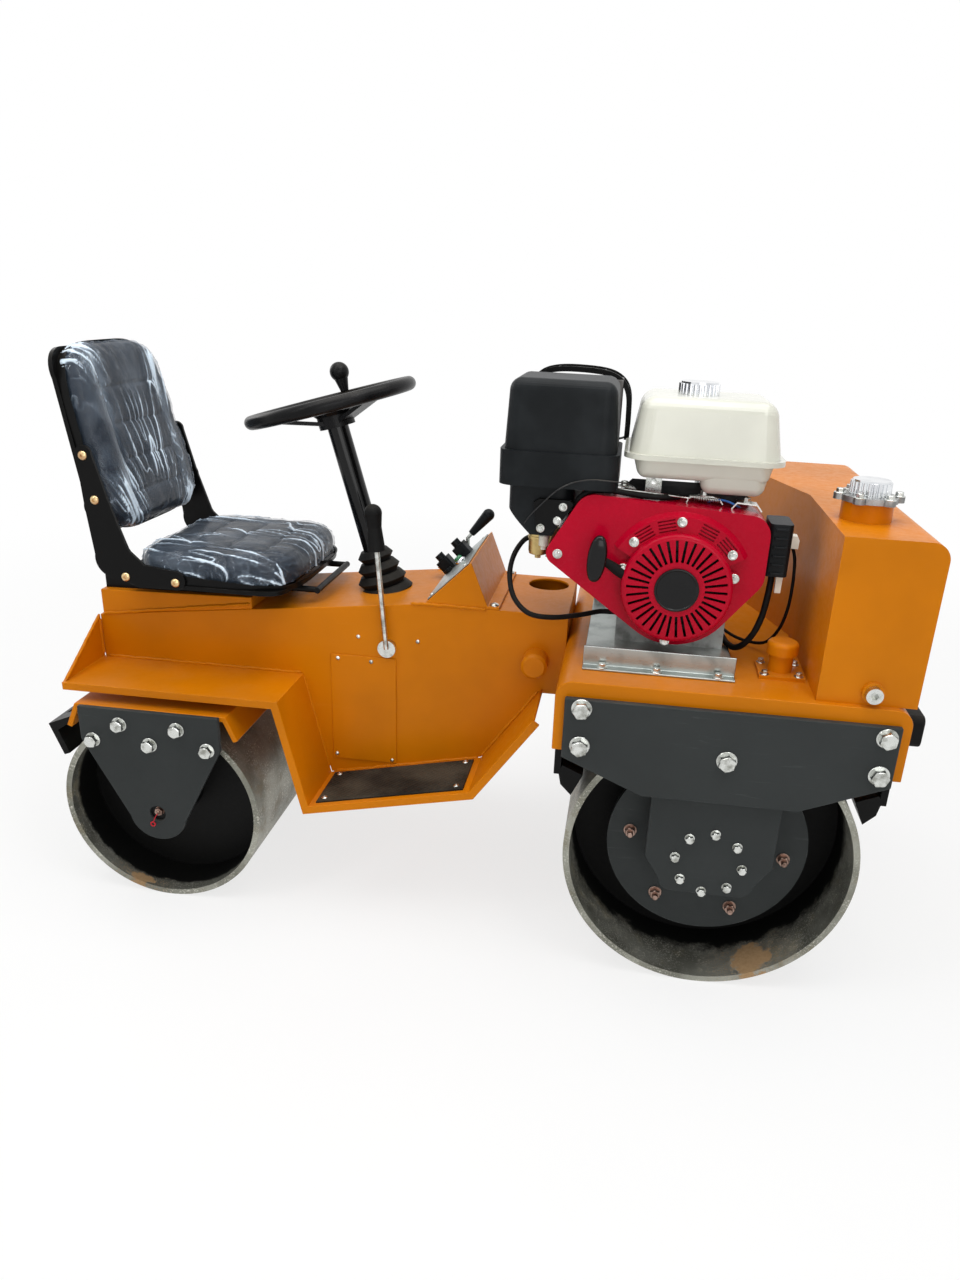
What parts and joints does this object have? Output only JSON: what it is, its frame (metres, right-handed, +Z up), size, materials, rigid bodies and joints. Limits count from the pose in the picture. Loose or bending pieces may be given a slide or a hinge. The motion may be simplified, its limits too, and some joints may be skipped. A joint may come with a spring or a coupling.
{
  "type": "road roller",
  "caption": "Small ride-on vibratory road roller with a driven front drum, a steered rear drum on a yoke, a petrol engine, a front tank, a seat and a steering wheel.",
  "frame": {"origin": "centre of the bounding box on the ground plane", "axes": "+X forward, +Y to the left, +Z up"},
  "size_m": [1.559, 0.748, 1.019],
  "materials": {
    "orange_paint": "gloss machinery enamel",
    "charcoal_paint": "satin dark grey enamel",
    "black_paint": "satin black enamel",
    "black_rubber": "matt rubber",
    "black_plastic": "fine-grained moulding",
    "red_paint": "gloss enamel",
    "white_paint": "gloss enamel",
    "zinc": "zinc-plated",
    "chrome": "bright plating",
    "cast_aluminium": "as cast",
    "cast_iron": "painted casting",
    "brass": "passivated casting",
    "muffler_steel": "heat-tinted sheet",
    "seat_vinyl": "black vinyl under clear film",
    "drum_steel": "rolled steel with dry dirt"
  },
  "bodies": {
    "chassis": {"front_frame": "orange_paint", "side_plate_right": "charcoal_paint", "side_plate_left": "charcoal_paint", "axle_housing_right": "black_paint", "axle_housing_left": "black_paint", "front_scrapers": "black_rubber", "bumpers": "black_rubber", "tank": "orange_paint", "tank_filler": "zinc", "tank_cap": "chrome", "drain_plug": "zinc", "breather": "orange_paint", "engine_tray": "zinc", "engine_block": "cast_aluminium", "fan_shroud": "red_paint", "recoil_cover": "red_paint", "recoil_disc": "black_plastic", "starter_grip": "black_plastic", "fuel_tank": "white_paint", "fuel_cap": "chrome", "air_cleaner": "black_plastic", "carburettor": "brass", "muffler": "muffler_steel", "switch_box": "black_plastic", "pump": "cast_iron", "throttle_cable": "black_rubber", "beam": "orange_paint", "footwell_right": "orange_paint", "footwell_left": "orange_paint", "step_mats": "black_rubber", "access_panels": "orange_paint", "tie_bosses": "orange_paint", "seat_base": "orange_paint", "seat_rails": "black_paint", "seat_frame": "black_paint", "seat_cushion": "seat_vinyl", "back_cushion": "seat_vinyl", "console": "orange_paint", "dash_panel": "zinc", "dash_switches": "black_plastic", "throttle_lever": "chrome", "throttle_grip": "black_plastic", "travel_lever": "chrome", "travel_grip": "black_plastic", "column": "black_paint", "column_boot": "black_rubber"},
    "front_drum": {"front_drum": "drum_steel", "buffer_disc_right": "charcoal_paint", "buffer_disc_left": "charcoal_paint"},
    "rear_yoke": {"yoke": "orange_paint", "yoke_plate_right": "charcoal_paint", "yoke_plate_left": "charcoal_paint", "rear_axle": "zinc", "rear_scraper": "black_rubber"},
    "rear_drum": {"rear_drum": "drum_steel"},
    "steering_wheel": {"steering_wheel": "black_plastic", "wheel_knob": "black_plastic"}
  },
  "joints": [
    {"name": "front_drum_spin", "type": "hinge", "parent": "chassis", "child": "front_drum", "pos_m": [0.4595, 0, 0.25], "axis": [0, 1, 0], "continuous": true},
    {"name": "rear_steer", "type": "hinge", "parent": "chassis", "child": "rear_yoke", "pos_m": [-0.5635, 0, 0.403], "axis": [0, 0, 1], "range_deg": [-15, 15]},
    {"name": "rear_drum_spin", "type": "hinge", "parent": "rear_yoke", "child": "rear_drum", "pos_m": [-0.5635, 0, 0.1925], "axis": [0, 1, 0], "continuous": true},
    {"name": "steering_wheel_turn", "type": "hinge", "parent": "chassis", "child": "steering_wheel", "pos_m": [-0.19557, 0, 0.58505], "axis": [-0.2756, 0, 0.9613], "range_deg": [-270, 270]}
  ],
  "couplings": [
    {"joint": "steering_wheel_turn", "follows": "rear_steer", "ratio": -18}
  ]
}
